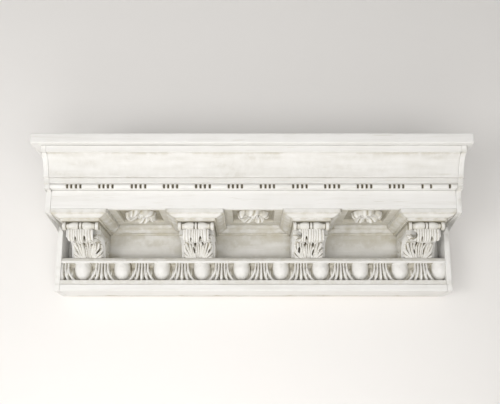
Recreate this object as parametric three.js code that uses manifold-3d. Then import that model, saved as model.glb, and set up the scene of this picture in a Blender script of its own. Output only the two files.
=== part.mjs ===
// A carved and painted wooden wall cornice: a shelf board over a crown moulding, a bead and reel
// strip, a plain corona, four leaf modillions with rosettes in the coffers between them, and an
// egg and leaf band, boxed in between two profile-cut end boards and a back board.
// Millimetres, +Z up, the wall is the plane Y = 0 and the front faces -Y.
import * as THREE from "three";
import { mergeVertices } from "three/addons/utils/BufferGeometryUtils.js";
import Module from "manifold-3d";

// Driving sizes. "Out" is a distance in front of the wall, a height is above the lowest edge.
const JOINT = 0.3; // open joint between two pieces that meet
const BODY_WIDTH = 1159;
const END_THICK = 14.5;
const MOUNT_HEIGHT = 198; // of the middle of the back, where the origin is

const SHELF = { width: 1200, out: 307, bottom: 368.5, top: 396, shift: -4, round: 6 };
const CROWN = { fillet: 289, coveTop: 281, coveTopHeight: 350.5, coveBottom: 252, bottom: 291.5 };
const STRIP = { band: 245, bandBottom: 277, bottom: 263.5, back: 200 };
const CORONA = { out: 220, thick: 14, bottom: 210.7 };
const SOFFIT = { thick: 22, coffer: 120, cofferFront: 203, cofferDepth: 10, cofferSlope: 3 };
const CAP = { fillet: 30, foot: 5, filletHeight: 11.3, footHeight: 6, bottom: 184 };
const BACK = { thick: 25 };
const LOWER = { out: 94, ledgeTop: 100.5, ledgeBottom: 84.8, bandTop: 33, bandBottom: 20, base: 96 };

const BEAD = { groups: 12, pitch: 89.5, first: -517, slot: 12.4, slotHalf: 2.4, radius: 6.5 };
const MODILLION = { count: 4, pitch: 326, width: 103, out: 190, bodyWidth: 95, front: 150 };
const ROSETTE = { count: 3, radius: 49, petals: 5 };
const DART = { topHalf: 23, footHalf: 39, crest: 90, valley: 79 };
const EGG = { count: 10, pitch: 117.3, first: -504.6, radius: 25.5, out: 70, depth: 22 };

const INNER = BODY_WIDTH / 2 - END_THICK - JOINT; // half the length between the end boards
const BEAD_OUT = STRIP.band - 5;
const BOLSTER = { out: 178, height: 171.8, radius: 12 };

const PAINT = new THREE.Color(0.86, 0.845, 0.81);
const RAW = new THREE.Color(0.62, 0.5, 0.36);

const wasm = await Module();
wasm.setup();

// A closed three.js geometry as a solid that can be joined and cut.
function solidOf(geometry) {
  const bare = geometry.clone();
  bare.deleteAttribute("normal");
  bare.deleteAttribute("uv");
  const merged = mergeVertices(bare, 1e-3);
  return new wasm.Manifold(
    new wasm.Mesh({
      numProp: 3,
      vertProperties: new Float32Array(merged.attributes.position.array),
      triVerts: new Uint32Array(merged.index.array),
    }),
  );
}

// The solid back as a three.js geometry.
function geometryOf(solid) {
  const mesh = solid.getMesh();
  const geometry = new THREE.BufferGeometry();
  geometry.setAttribute("position", new THREE.BufferAttribute(mesh.vertProperties, 3));
  geometry.setIndex(new THREE.BufferAttribute(mesh.triVerts, 1));
  geometry.computeVertexNormals();
  return geometry;
}

const union = (solids) => solids.reduce((sum, next) => sum.add(next));

// A section of points [a, height] carried in a straight line. place(a, height, t) gives the
// point of the run for t = 0 at its start and t = 1 at its end, so the ends can be mitred.
function run(section, place) {
  const shape = new THREE.Shape(section.map(([a, h]) => new THREE.Vector2(a, h)));
  const geometry = new THREE.ExtrudeGeometry(shape, { depth: 1, bevelEnabled: false, steps: 1 });
  const at = geometry.attributes.position;
  for (let i = 0; i < at.count; i++) {
    at.setXYZ(i, ...place(at.getX(i), at.getY(i), at.getZ(i)));
  }
  return geometry;
}

// A section of [out, height] carried level along the wall from x0 to x1.
function alongWall(section, x0, x1) {
  return run(section, (out, height, t) => [x1 + (x0 - x1) * t, -out, height]);
}

const rectangle = (out0, out1, low, high) => [
  [out0, low],
  [out1, low],
  [out1, high],
  [out0, high],
];

// Points on the arc that bulges by sag to the right of the way from a to b, ends included.
function arc(a, b, sag, steps) {
  const from = new THREE.Vector2(...a);
  const to = new THREE.Vector2(...b);
  const half = from.distanceTo(to) / 2;
  const radius = (half * half + sag * sag) / (2 * Math.abs(sag));
  const along = to.clone().sub(from).normalize();
  const side = new THREE.Vector2(along.y, -along.x).multiplyScalar(Math.sign(sag));
  const opening = Math.asin(half / radius);
  return Array.from({ length: steps + 1 }, (_, i) => {
    const angle = opening * ((2 * i) / steps - 1);
    const lift = radius * Math.cos(angle) - (radius - Math.abs(sag));
    const reach = half + radius * Math.sin(angle);
    return [
      from.x + along.x * reach + side.x * lift,
      from.y + along.y * reach + side.y * lift,
    ];
  });
}

// A closed slab over a grid: front(i, j) and back(i, j) give its two faces as [x, y, z].
function slab(columns, rows, front, back) {
  const points = [];
  const faces = [];
  for (const face of [front, back]) {
    for (let j = 0; j <= rows; j++) {
      for (let i = 0; i <= columns; i++) points.push(...face(i, j));
    }
  }
  const span = columns + 1;
  const other = span * (rows + 1);
  const quad = (a, b, c, d) => faces.push(a, b, c, a, c, d);
  for (let j = 0; j < rows; j++) {
    for (let i = 0; i < columns; i++) {
      const a = j * span + i;
      quad(a, a + 1, a + 1 + span, a + span);
      quad(other + a, other + a + span, other + a + 1 + span, other + a + 1);
    }
  }
  for (let i = 0; i < columns; i++) {
    const low = i;
    const high = rows * span + i;
    quad(low, other + low, other + low + 1, low + 1);
    quad(high, high + 1, other + high + 1, other + high);
  }
  for (let j = 0; j < rows; j++) {
    const left = j * span;
    const right = left + columns;
    quad(left, left + span, other + left + span, other + left);
    quad(right, other + right, other + right + span, right + span);
  }
  const geometry = new THREE.BufferGeometry();
  geometry.setAttribute("position", new THREE.Float32BufferAttribute(points, 3));
  geometry.setIndex(faces);
  return geometry;
}

// A turned solid on an axis along X: stations are [x, radius], ends included.
function turned(stations, out, height, sides) {
  const outline = [
    new THREE.Vector2(0, stations[0][0]),
    ...stations.map(([x, r]) => new THREE.Vector2(r, x)),
    new THREE.Vector2(0, stations.at(-1)[0]),
  ];
  const geometry = new THREE.LatheGeometry(outline, sides);
  geometry.rotateZ(-Math.PI / 2);
  geometry.translate(0, -out, height);
  return geometry;
}

const cornice = new THREE.Group();
cornice.position.z = -MOUNT_HEIGHT;

function place(name, geometry, color = PAINT) {
  const material = new THREE.MeshStandardMaterial({ color, roughness: 0.75, metalness: 0 });
  const mesh = new THREE.Mesh(geometry, material);
  mesh.name = name;
  cornice.add(mesh);
  return mesh;
}

// The shelf board, with its front and side edges slightly rounded over.
function shelfBoard() {
  const { width, out, bottom, top, shift, round } = SHELF;
  const outline = new THREE.Shape();
  const half = width / 2;
  outline.moveTo(-half, 0);
  outline.lineTo(-half, -out + round);
  outline.quadraticCurveTo(-half, -out, -half + round, -out);
  outline.lineTo(half - round, -out);
  outline.quadraticCurveTo(half, -out, half, -out + round);
  outline.lineTo(half, 0);
  const geometry = new THREE.ExtrudeGeometry(outline, {
    depth: top - bottom,
    bevelEnabled: false,
    curveSegments: 3,
  });
  geometry.translate(shift, 0, bottom);
  return geometry;
}

// The front of the crown from its top to its foot: a fillet, a step under it and a hollow.
function crownFront(steps) {
  return [
    [CROWN.fillet, SHELF.bottom - JOINT],
    [CROWN.fillet, CROWN.coveTopHeight],
    ...arc([CROWN.coveTop, CROWN.coveTopHeight], [CROWN.coveBottom, CROWN.bottom], 7, steps),
  ];
}

function crownMoulding() {
  const back = [
    [CROWN.coveBottom - 36, CROWN.bottom],
    [CROWN.fillet - 43, SHELF.bottom - JOINT],
  ];
  const section = [...crownFront(6), ...back];
  return alongWall(section, -INNER, INNER);
}

// The long beads and the reels between them, as the radius of one rod along its length: each
// group starts and ends with a slot, and has three reels with a slot on both sides.
function beadStations() {
  const { groups, pitch, first, slot, slotHalf, radius } = BEAD;
  const deep = radius * 0.35;
  const stations = [[-INNER, radius]];
  for (let g = 0; g < groups; g++) {
    for (let s = 0; s < 4; s++) {
      const x = first + g * pitch + s * slot;
      stations.push([x - slotHalf, radius], [x, deep], [x + slotHalf, radius]);
    }
  }
  stations.push([INNER, radius]);
  return stations;
}

function beadAndReelStrip() {
  const { band, bandBottom, bottom, back } = STRIP;
  const middle = (bottom + bandBottom) / 2;
  const core = BEAD_OUT - BEAD.radius * Math.sin(Math.PI / 3);
  const section = [
    [back, bottom + JOINT],
    [core, bottom + JOINT],
    [core, bandBottom],
    [band, bandBottom],
    [band, CROWN.bottom - JOINT],
    [back, CROWN.bottom - JOINT],
  ];
  const strip = solidOf(alongWall(section, -INNER, INNER));
  const rod = solidOf(turned(beadStations(), core, middle, 6));
  return geometryOf(strip.add(rod));
}

function coronaBoard() {
  const { out, thick, bottom } = CORONA;
  return alongWall(rectangle(out - thick, out, bottom, STRIP.bottom), -INNER, INNER);
}

const modillionAt = (i) => (i - (MODILLION.count - 1) / 2) * MODILLION.pitch;
const rosetteAt = (i) => (i - (ROSETTE.count - 1) / 2) * MODILLION.pitch;

// The soffit board, with a square sunk panel with sloping edges between each two modillions.
function soffitBoard() {
  const { thick, coffer, cofferFront, cofferDepth, cofferSlope } = SOFFIT;
  const front = CORONA.out - CORONA.thick - JOINT;
  const board = alongWall(
    rectangle(BACK.thick + JOINT, front, CORONA.bottom, CORONA.bottom + thick),
    -INNER,
    INNER,
  );
  const half = coffer / 2;
  const middle = cofferFront - half;
  let solid = solidOf(board);
  for (let i = 0; i < ROSETTE.count; i++) {
    const pocket = slab(
      1,
      1,
      (u, v) => [(u * 2 - 1) * (half + 1), (v * 2 - 1) * (half + 1) - middle, -cofferSlope],
      (u, v) => [
        (u * 2 - 1) * (half - cofferSlope),
        (v * 2 - 1) * (half - cofferSlope) - middle,
        cofferDepth,
      ],
    );
    pocket.index.array.reverse();
    pocket.translate(rosetteAt(i), 0, CORONA.bottom);
    solid = solid.subtract(solidOf(pocket));
  }
  return geometryOf(solid);
}

// The moulding under the soffit, as [out from the face it is fixed to, height]: a fillet at the
// top, a quarter round and a small fillet at the foot. A reach cuts it off in front.
function capSection(reach = CAP.fillet) {
  const top = CORONA.bottom - JOINT;
  const stop = CORONA.bottom - CAP.filletHeight;
  const foot = CAP.bottom + CAP.footHeight;
  const curve = arc([CAP.fillet - 4, stop], [CAP.foot + 3, foot], -1.5, 3);
  const front = [[CAP.fillet, top], [CAP.fillet, stop], ...curve, [CAP.foot, foot]];
  const kept = [...front, [CAP.foot, CAP.bottom]].map(([p, h]) => [Math.min(p, reach), h]);
  const distinct = kept.filter((p, i) => i === 0 || p.join() !== kept[i - 1].join());
  return [...distinct, [JOINT, CAP.bottom], [JOINT, top]];
}

// The three mitred lengths of moulding round a modillion.
function capMouldings(index) {
  const x = modillionAt(index);
  const half = MODILLION.width / 2;
  const face = MODILLION.out;
  const gap = JOINT / 2;
  const limit = (side, value) => (side < 0 ? Math.max(value, -INNER) : Math.min(value, INNER));
  const front = run(capSection(), (p, h, t) => {
    const side = 1 - 2 * t;
    return [limit(side, x + side * (half + p - gap)), -face - p, h];
  });
  place(`modillion_${index + 1}_cap_front`, front);
  for (const [name, side] of [["left", -1], ["right", 1]]) {
    const room = INNER - Math.abs(x + side * half);
    const section = capSection(Math.min(CAP.fillet, room));
    const geometry = run(section, (p, h, t) => {
      const end = side < 0 ? t : 1 - t;
      const out = end ? BACK.thick + p + gap : face + p - gap;
      return [x + side * (half + p), -out, h];
    });
    place(`modillion_${index + 1}_cap_${name}`, geometry);
  }
}

// The same moulding along the frieze in each bay, mitred into the caps.
function bedMoulding(index) {
  const left = modillionAt(index) + MODILLION.width / 2;
  const right = modillionAt(index + 1) - MODILLION.width / 2;
  const gap = JOINT / 2;
  return run(capSection(), (p, h, t) => [
    t ? left + p + gap : right - p - gap,
    -BACK.thick - p,
    h,
  ]);
}

// The modillion's leaf: its middle line runs from the ledge up and forward to the tip.
const leafLine = new THREE.CatmullRomCurve3(
  [
    new THREE.Vector3(0, -82, 101.5),
    new THREE.Vector3(0, -83, 114),
    new THREE.Vector3(0, -88, 128),
    new THREE.Vector3(0, -100, 139.5),
    new THREE.Vector3(0, -125, 145),
    new THREE.Vector3(0, -146, 143.5),
    new THREE.Vector3(0, -162, 140),
    new THREE.Vector3(0, -172, 140),
    new THREE.Vector3(0, -176, 148),
    new THREE.Vector3(0, -177, 158),
  ],
  false,
  "centripetal",
);

// Half the leaf's width at v = 0 at its foot to 1 at its tip: three pairs of lobes.
function leafHalfWidth(v) {
  const lobes = [
    { from: 0, to: 0.36, wide: 51 },
    { from: 0.36, to: 0.66, wide: 49 },
    { from: 0.66, to: 1, wide: 34 },
  ];
  const lobe = lobes.find(({ to }) => v <= to);
  const t = (v - lobe.from) / (lobe.to - lobe.from);
  const belly = Math.sqrt(Math.max(0, 1 - Math.abs(2 * t - 1) ** 2.4));
  return lobe.wide * (0.72 + 0.28 * belly);
}

function modillionLeaf() {
  const columns = 10;
  const rows = 7;
  const lengthwise = (j) => leafLine.getPoint(j / rows);
  const normal = (j) => {
    const way = leafLine.getTangent(j / rows);
    return new THREE.Vector3(0, -way.z, way.y).normalize();
  };
  const raised = (i, j) => {
    const u = (2 * i) / columns - 1;
    const flute = i % 2 ? 4 : 0;
    const roll = 6 * (1 - u * u);
    const notch = Math.abs(u) > 0.3 && (j === 3 || j === 5) ? -4 : 0;
    return 2 + roll + flute + notch;
  };
  return slab(
    columns,
    rows,
    (i, j) => {
      const u = (2 * i) / columns - 1;
      const at = lengthwise(j).addScaledVector(normal(j), raised(i, j));
      return [u * leafHalfWidth(j / rows), at.y, Math.max(at.z, LOWER.ledgeTop + JOINT)];
    },
    (i, j) => {
      const u = (2 * i) / columns - 1;
      const at = lengthwise(j).addScaledVector(normal(j), -5);
      return [u * (leafHalfWidth(j / rows) - 2), at.y, Math.max(at.z, LOWER.ledgeTop + JOINT)];
    },
  );
}

// The little baluster across the modillion's head: rims, necks, two bellies and a middle band.
function bolsterStations() {
  const half = MODILLION.width / 2;
  const r = BOLSTER.radius;
  const side = [
    [2.8, r - 1],
    [3.6, r - 6],
    [6.8, r - 6],
    [7.8, r - 1],
    [20, r],
    [35, r - 5],
    [41, r - 5],
    [43, r],
    [half, r],
  ];
  return [...side.map(([x, radius]) => [-x, radius]).reverse(), ...side];
}

// The console's outline from the side: a block in the cap, set back behind the leaf's tip, and
// an S-shaped belly to the ledge.
function consoleSection() {
  const floor = LOWER.ledgeTop + JOINT;
  const back = BACK.thick + JOINT;
  const belly = [0.56, 0.45, 0.3, 0.15].map((v) => {
    const at = leafLine.getPoint(v);
    return [-at.y - 1, at.z + 1];
  });
  return [
    [back, floor],
    [back, CORONA.bottom - JOINT],
    [MODILLION.out, CORONA.bottom - JOINT],
    [MODILLION.out, CAP.bottom - 1],
    [MODILLION.front, CAP.bottom - 1],
    ...belly,
    [80, floor],
  ];
}

// A round scroll in low relief on the console's side, with a sunk ring and a raised eye.
function sideScroll(side) {
  const inner = MODILLION.bodyWidth / 2 - 6;
  const face = MODILLION.width / 2;
  const profile = [
    [inner, 24],
    [face, 22],
    [face - 4, 15],
    [face, 7],
  ];
  const stations = profile.map(([x, r]) => [side * x, r]);
  return turned(side < 0 ? stations.reverse() : stations, 54, 139, 10);
}

// A raised rib on the console's side, from the back scroll along the belly to the head.
function sideRib(side) {
  const inner = MODILLION.bodyWidth / 2 - 2;
  const face = MODILLION.width / 2;
  const upper = [
    [62, 160],
    [90, 150],
    [120, 148],
    [MODILLION.front - 2, 156],
  ];
  const columns = upper.length - 1;
  const thick = 11;
  const at = (i, j) => [upper[i][0], upper[i][1] - j * thick];
  return slab(
    columns,
    1,
    (i, j) => [side * face, -at(i, j)[0], at(i, j)[1]],
    (i, j) => [side * inner, -at(i, j)[0], at(i, j)[1]],
  );
}

// Turns a geometry's faces the right way out, whichever way they were listed.
function outward(geometry) {
  const solid = solidOf(geometry);
  if (solid.volume() > 0) return solid;
  geometry.index.array.reverse();
  return solidOf(geometry);
}

function modillion() {
  const width = MODILLION.bodyWidth / 2;
  const wide = MODILLION.width / 2 - JOINT;
  const console = solidOf(alongWall(consoleSection(), -width, width));
  const head = rectangle(BACK.thick + JOINT, MODILLION.out, CAP.bottom - 1, CORONA.bottom - JOINT);
  return geometryOf(
    union([
      console,
      solidOf(alongWall(head, -wide, wide)),
      solidOf(turned(bolsterStations(), BOLSTER.out, BOLSTER.height, 8)),
      outward(modillionLeaf()),
      outward(sideScroll(-1)),
      outward(sideScroll(1)),
      outward(sideRib(-1)),
      outward(sideRib(1)),
    ]),
  );
}

// A rosette hanging under its coffer: petals rolled up at their ends, round a button. It is
// turned on an upright axis, and then each ring is drawn in and dropped with the angle.
function rosette(index) {
  const { radius, petals } = ROSETTE;
  const turn = index * 0.5;
  const top = CORONA.bottom + SOFFIT.cofferDepth - JOINT;
  const rings = [
    { r: 0, drop: 15, curl: 0 },
    { r: 0.17, drop: 13, curl: 0 },
    { r: 0.26, drop: 6, curl: 0 },
    { r: 0.6, drop: 9, curl: 6 },
    { r: 0.86, drop: 11, curl: 9 },
    { r: 1, drop: 6, curl: 7 },
    { r: 0.96, drop: 0, curl: 0 },
    { r: 0, drop: 0, curl: 0 },
  ];
  const outline = rings.map(({ r, drop }) => new THREE.Vector2(r * radius, -drop));
  const geometry = new THREE.LatheGeometry(outline, petals * 5);
  geometry.rotateX(Math.PI / 2);
  const at = geometry.attributes.position;
  for (let i = 0; i < at.count; i++) {
    const ring = i % rings.length;
    const angle = Math.floor(i / rings.length) * ((2 * Math.PI) / (petals * 5));
    const lobe = Math.abs(Math.cos((petals * angle) / 2)) ** 0.7;
    const reach = rings[ring].r > 0.5 ? 0.8 + 0.2 * lobe : 1;
    const x = at.getX(i) * reach;
    const y = at.getY(i) * reach;
    at.setXYZ(
      i,
      x * Math.cos(turn) - y * Math.sin(turn),
      x * Math.sin(turn) + y * Math.cos(turn),
      top + at.getZ(i) - rings[ring].curl * lobe,
    );
  }
  return geometry;
}

// One egg, turned on an upright axis and flattened a little towards the wall.
function egg(x) {
  const height = LOWER.ledgeBottom - LOWER.bandTop;
  const outline = [
    [0, 0],
    [0.5, 0.09],
    [0.85, 0.32],
    [1, 0.72],
    [0.93, 1.02],
    [0, 1.02],
  ].map(([r, h]) => new THREE.Vector2(r * EGG.radius, h * height));
  const geometry = new THREE.LatheGeometry(outline, 10);
  geometry.rotateX(Math.PI / 2);
  geometry.scale(1, EGG.depth / EGG.radius, 1);
  return geometry.translate(x, -EGG.out, LOWER.bandTop);
}

// The hollow behind the eggs, with the ledge over it and the flat band under it.
function eggSection() {
  const { out, ledgeTop, ledgeBottom, bandTop, bandBottom } = LOWER;
  const back = BACK.thick + JOINT;
  return [
    [back, bandBottom + JOINT],
    [out, bandBottom + JOINT],
    [out, bandTop - 1],
    ...arc([out - 4, bandTop], [out - 24, ledgeBottom - 12], -8, 4),
    [out - 22, ledgeBottom],
    [out, ledgeBottom],
    [out, ledgeTop],
    [back, ledgeTop],
  ];
}

// The leaf between two eggs, as a fan of ribs: they leave the ledge upright and close together,
// and bend aside at the foot. Crests and valleys take turns across the grid.
function dartLeaf(x) {
  const rows = 2;
  const columns = 10;
  const { topHalf, footHalf, crest, valley } = DART;
  const top = LOWER.ledgeBottom + 1;
  const height = top - LOWER.bandTop + 1;
  const across = (i, t) => {
    const u = (2 * i) / columns - 1;
    return x + u * (topHalf + (footHalf - topHalf) * t ** 2);
  };
  return slab(
    columns,
    rows,
    (i, j) => {
      const t = j / rows;
      const out = i % 2 ? crest + 2 * Math.sin(Math.PI * t) : valley;
      return [across(i, t), -out, top - t * height];
    },
    (i, j) => [across(i, j / rows), -valley + 14, top - (j / rows) * height],
  );
}

function eggAndLeafMoulding() {
  const { count, pitch, first } = EGG;
  const parts = [solidOf(alongWall(eggSection(), -INNER, INNER))];
  for (let i = 0; i < count; i++) {
    const x = first + i * pitch;
    parts.push(outward(egg(x)), outward(dartLeaf(x - pitch / 2)));
  }
  const bounds = rectangle(0, LOWER.out + 10, LOWER.bandBottom + JOINT, LOWER.ledgeTop);
  return geometryOf(union(parts).intersect(solidOf(alongWall(bounds, -INNER, INNER))));
}

function baseFillet() {
  return alongWall(rectangle(BACK.thick + JOINT, LOWER.base, 0, LOWER.bandBottom), -INNER, INNER);
}

function backBoard() {
  return alongWall(rectangle(0, BACK.thick, 0, SHELF.bottom - JOINT), -INNER, INNER);
}

// An end board, sawn to the outline of the mouldings that it closes.
function endBoard(side) {
  const front = [
    ...crownFront(6),
    [STRIP.band, CROWN.bottom],
    [STRIP.band, STRIP.bandBottom],
    [BEAD_OUT, STRIP.bandBottom],
    [BEAD_OUT, STRIP.bottom],
    [CORONA.out, STRIP.bottom],
    [CORONA.out, CORONA.bottom - CAP.filletHeight],
    [LOWER.out, CORONA.bottom - CAP.filletHeight + 3],
    [LOWER.out, LOWER.bandBottom],
    [LOWER.base, LOWER.bandBottom],
    [LOWER.base, 0],
  ];
  const section = [[0, SHELF.bottom - JOINT], ...front, [0, 0]];
  const outer = (side * BODY_WIDTH) / 2;
  const inner = outer - side * END_THICK;
  return alongWall(section, Math.min(outer, inner), Math.max(outer, inner));
}

place("shelf_board", shelfBoard());
place("crown_moulding", crownMoulding());
place("bead_and_reel_strip", beadAndReelStrip());
place("corona_board", coronaBoard());
place("soffit_board", soffitBoard());
place("back_board", backBoard(), RAW);
place("end_board_left", endBoard(-1));
place("end_board_right", endBoard(1));
for (let i = 0; i < MODILLION.count; i++) {
  place(`modillion_${i + 1}`, modillion()).position.x = modillionAt(i);
  capMouldings(i);
}
for (let i = 0; i < MODILLION.count - 1; i++) place(`bed_moulding_${i + 1}`, bedMoulding(i));
for (let i = 0; i < ROSETTE.count; i++) {
  const mesh = place(`rosette_${i + 1}`, rosette(i));
  mesh.position.set(rosetteAt(i), -(SOFFIT.cofferFront - SOFFIT.coffer / 2), 0);
}
place("egg_and_leaf_moulding", eggAndLeafMoulding());
place("base_fillet", baseFillet());

export default cornice;
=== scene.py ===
"""A carved and painted wooden wall cornice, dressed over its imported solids.

Shapes are worked out in millimetres as [x, out, height]: x along the length, out in front of the
wall, height above the lowest edge. to_frame() turns them into metres in the frame of the solids.
"""
import math

import bpy
import numpy as np
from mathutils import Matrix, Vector


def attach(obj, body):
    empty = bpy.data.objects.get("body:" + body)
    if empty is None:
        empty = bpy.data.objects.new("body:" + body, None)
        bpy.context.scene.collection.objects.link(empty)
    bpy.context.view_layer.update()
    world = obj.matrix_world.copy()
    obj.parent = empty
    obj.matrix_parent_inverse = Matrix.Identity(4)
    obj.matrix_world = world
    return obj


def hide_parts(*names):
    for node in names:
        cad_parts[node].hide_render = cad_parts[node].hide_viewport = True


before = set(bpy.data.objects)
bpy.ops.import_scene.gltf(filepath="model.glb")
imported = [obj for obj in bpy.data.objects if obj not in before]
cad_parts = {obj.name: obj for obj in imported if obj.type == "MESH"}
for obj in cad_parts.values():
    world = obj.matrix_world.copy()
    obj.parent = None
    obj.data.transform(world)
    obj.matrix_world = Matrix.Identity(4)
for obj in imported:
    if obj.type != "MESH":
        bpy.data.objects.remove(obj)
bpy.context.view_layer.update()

# Driving sizes, in millimetres, as the solids have them
MOUNT_HEIGHT = 198
BODY_WIDTH = 1159
END_THICK = 14.5
JOINT = 0.3
INNER = BODY_WIDTH / 2 - END_THICK - JOINT
BACK_THICK = 25
SHELF_HALF, SHELF_OUT, SHELF_LOW, SHELF_TOP, SHELF_SHIFT = 600, 307, 368.5, 396, -4
CROWN_FILLET, COVE_TOP, COVE_TOP_HEIGHT, COVE_FOOT, CROWN_LOW = 289, 281, 350.5, 252, 291.5
BAND_OUT, BAND_LOW, ROD_OUT, ROD_LOW = 245, 277, 234, 263.5
CORONA_OUT, CORONA_THICK, CORONA_LOW = 220, 14, 210.7
CAP_FILLET, CAP_FOOT, CAP_FILLET_HEIGHT, CAP_LOW = 30, 5, 11.3, 184
LOWER_OUT, LEDGE_TOP, LEDGE_LOW, LOWER_BAND, BASE_TOP, BASE_OUT = 94, 100.5, 84.8, 33, 20, 96
ROD_RADIUS, REEL_GROUPS, REEL_PITCH, REEL_FIRST, REEL_SLOT = 6.5, 12, 89.5, -517, 12.4
EGGS, EGG_PITCH, EGG_FIRST, EGG_RADIUS = 10, 117.3, -504.6, 25.5
MODILLIONS, MODILLION_PITCH, MODILLION_OUT, MODILLION_HALF = 4, 326, 190, 51.5
ROSETTES, ROSETTE_RADIUS, ROSETTE_OUT, ROSETTE_TOP = 3, 48, 143, 220.4


# Numbers on grids

def noise(points, cell, seed):
    """Smooth noise from -1 to 1 in space: random values at the corners of boxes of size cell, blended
    across each box by 3t^2 - 2t^3 along each axis."""
    values = np.random.default_rng(seed).uniform(-1, 1, 8192)
    at = np.asarray(points) / np.asarray(cell)
    low = np.floor(at).astype(np.int64)
    t = at - low
    t = t * t * (3 - 2 * t)
    total = 0
    for corner in np.ndindex(2, 2, 2):
        key = (low + corner) * (73856093, 19349663, 83492791)
        picked = values[(key[..., 0] ^ key[..., 1] ^ key[..., 2]) & 8191]
        total = total + picked * np.prod(np.where(corner, t, 1 - t), axis=-1)
    return total


def step(low, high, value):
    """0 below low, 1 above high, and 3t^2 - 2t^3 between them."""
    t = np.clip((value - low) / (high - low), 0, 1)
    return t * t * (3 - 2 * t)


def hump(value, width):
    """exp(-(value / width)^2): 1 at 0, and fading away on both sides."""
    return np.exp(-(value / width) ** 2)


def dome(value):
    """sqrt(1 - value^2): a half circle, and 0 past -1 and 1."""
    return np.sqrt(np.clip(1 - value ** 2, 0, 1))


def stacked(*parts):
    """Arrays stretched to one shape and stacked along a last axis."""
    return np.stack(np.broadcast_arrays(*parts), axis=-1)


def flat_noise(a, b, cell, seed):
    """Noise over a flat grid with the coordinates a and b."""
    return noise(stacked(a, b, 0), cell, seed)


def blurred(field, reach):
    """The mean of a field over a window of 2 reach + 1 cells each way, from running sums."""
    for axis in (0, 1):
        width = [(reach + 1, reach) if a == axis else (0, 0) for a in (0, 1)]
        sums = np.cumsum(np.pad(field, width, mode="edge"), axis=axis)
        count = 2 * reach + 1
        ahead = np.take(sums, np.arange(count, sums.shape[axis]), axis)
        behind = np.take(sums, np.arange(sums.shape[axis] - count), axis)
        field = (ahead - behind) / count
    return field


def cavity(field, reach, depth):
    """How far each point lies below the mean of its surroundings, as 0 to 1 for a given depth."""
    return np.clip((blurred(field, reach) - field) / depth, 0, 1)


def arc(a, b, sag, count):
    """Points on the circle through a and b whose middle lies sag to the right of the way there."""
    a, b = np.array(a, float), np.array(b, float)
    half = np.linalg.norm(b - a) / 2
    radius = (half ** 2 + sag ** 2) / (2 * abs(sag))
    along = (b - a) / (2 * half)
    side = np.array([along[1], -along[0]]) * np.sign(sag)
    angle = np.linspace(-1, 1, count + 1)[:, None] * math.asin(half / radius)
    lift = radius * np.cos(angle) - (radius - abs(sag))
    return a + along * (half + radius * np.sin(angle)) + side * lift


def curve_through(points, count):
    """Points at even distances along the smooth curve through the given ones: between two of them it
    is the cubic whose slopes at both ends run parallel to the neighbours' chord."""
    points = np.array(points, float)
    padded = np.vstack([2 * points[0] - points[1], points, 2 * points[-1] - points[-2]])
    t = np.linspace(0, 1, 33)[:-1, None]
    dense = []
    for p0, p1, p2, p3 in zip(padded, padded[1:], padded[2:], padded[3:]):
        slope1, slope2 = (p2 - p0) / 2, (p3 - p1) / 2
        dense.append(
            (2 * t ** 3 - 3 * t ** 2 + 1) * p1 + (t ** 3 - 2 * t ** 2 + t) * slope1
            + (3 * t ** 2 - 2 * t ** 3) * p2 + (t ** 3 - t ** 2) * slope2
        )
    dense = np.vstack(dense + [points[-1:]])
    run = np.concatenate([[0], np.cumsum(np.linalg.norm(np.diff(dense, axis=0), axis=1))])
    even = np.linspace(0, run[-1], count)
    return np.stack([np.interp(even, run, dense[:, k]) for k in (0, 1)], axis=1), run[-1]


def to_the_right(line):
    """Unit normals on the right of a line of points."""
    way = np.gradient(line, axis=0)
    way /= np.linalg.norm(way, axis=1)[:, None]
    return np.stack([way[:, 1], -way[:, 0]], axis=1)


# Outlines and shells

def outline(corners, radius=1.0, spacing=6.0, sharp=25):
    """A closed outline with soft corners. A corner that turns more than sharp degrees becomes the
    curve (1 - t)^2 a + 2 t (1 - t) corner + t^2 b between points a and b at radius from it, and
    straight stretches get points at most spacing apart. Returns the points, how much each one is an
    outer edge, and how near it lies to an inner corner, both from 0 to 1."""
    corners = np.array(corners, float)
    before, after = np.roll(corners, 1, 0), np.roll(corners, -1, 0)
    area = np.sum(corners[:, 0] * after[:, 1] - corners[:, 1] * after[:, 0])
    came, goes = corners - before, after - corners
    length_in, length_out = np.linalg.norm(came, axis=1), np.linalg.norm(goes, axis=1)
    cross = (came[:, 0] * goes[:, 1] - came[:, 1] * goes[:, 0]) * np.sign(area)
    turn = np.degrees(np.arctan2(cross, np.sum(came * goes, axis=1)))
    reach = np.where(np.abs(turn) > sharp, np.minimum(radius, 0.4 * np.minimum(length_in, length_out)), 0)
    spacings = np.broadcast_to(spacing, len(corners))
    t = np.linspace(0, 1, 5)[:, None]
    points, edge, nooks = [], [], []
    for i, corner in enumerate(corners):
        if reach[i] > 0:
            a = corner - came[i] / length_in[i] * reach[i]
            b = corner + goes[i] / length_out[i] * reach[i]
            points.append((1 - t) ** 2 * a + 2 * t * (1 - t) * corner + t ** 2 * b)
            edge.append((np.sin(np.pi * t[:, 0]) * 0.7 + 0.3) * (turn[i] > 0))
        else:
            points.append(corner[None])
            edge.append(np.zeros(1))
        if turn[i] < -sharp:
            nooks.append(corner)
        following = (i + 1) % len(corners)
        room = length_out[i] - reach[i] - reach[following]
        if room > 2:
            near = 0.9
            stops = np.linspace(near, room - near, max(2, int(math.ceil(room / spacings[i]))))
            points.append(corner + goes[i] / length_out[i] * (reach[i] + stops[:, None]))
            edge.append(np.zeros(len(stops)))
    points, edge = np.vstack(points), np.concatenate(edge)
    nook = np.zeros(len(points))
    for corner in nooks:
        nook = np.maximum(nook, np.exp(-np.linalg.norm(points - corner, axis=1) / 3.5))
    return points, edge, nook


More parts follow.
